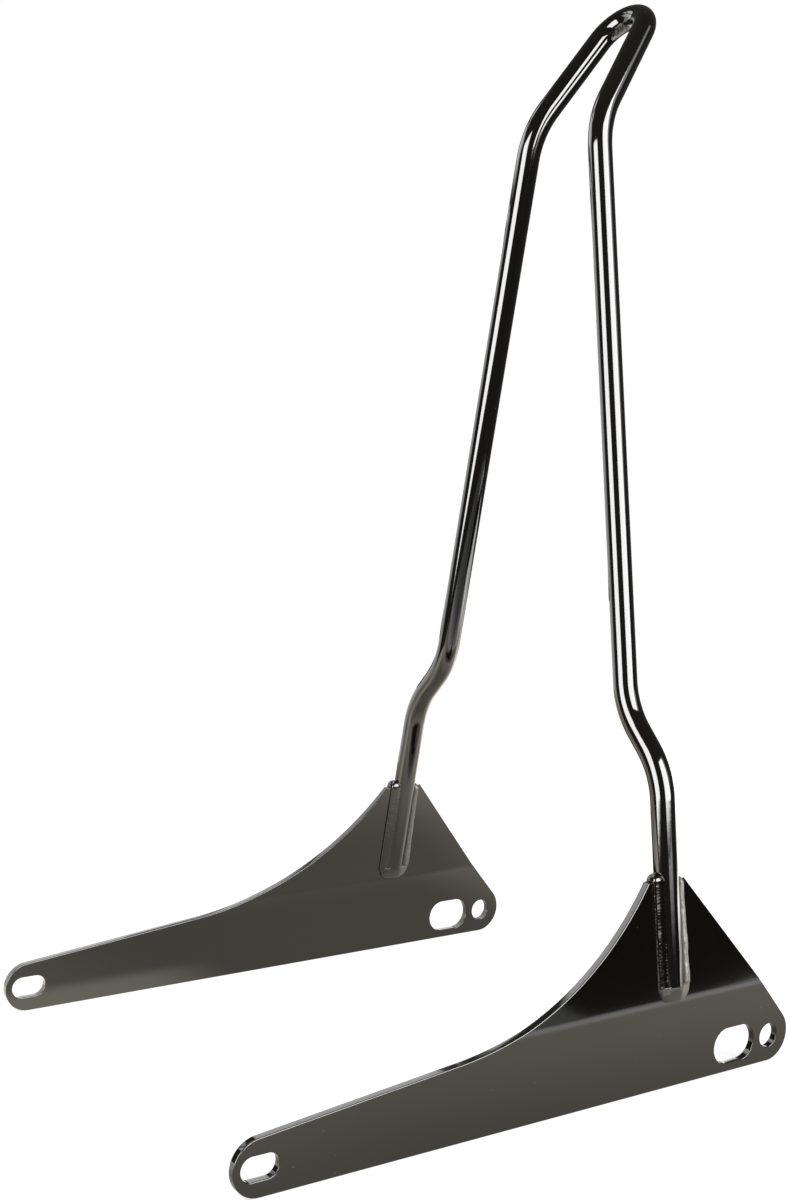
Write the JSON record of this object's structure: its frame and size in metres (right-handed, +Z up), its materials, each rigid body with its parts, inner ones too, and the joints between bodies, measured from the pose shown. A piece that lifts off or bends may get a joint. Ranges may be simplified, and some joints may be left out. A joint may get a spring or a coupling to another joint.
{
  "type": "sissy bar",
  "caption": "Tall narrow hoop of bent round bar, swept back at the top and welded into two bent side plates with bolt slots, in gloss black.",
  "frame": {"origin": "middle of the footprint, on the surface that the plates' lower edges stand on", "axes": "+X to the machine's rear, along the plates; +Y across, to the right; +Z up"},
  "size_m": [0.3322, 0.2562, 0.556],
  "materials": {
    "bar_coat": "gloss",
    "plate_coat": "gloss",
    "weld_coat": "gloss"
  },
  "bodies": {
    "root": {"hoop_bar": "bar_coat", "left_side_plate": "plate_coat", "right_side_plate": "plate_coat", "left_weld_bead": "weld_coat", "right_weld_bead": "weld_coat"}
  },
  "joints": []
}
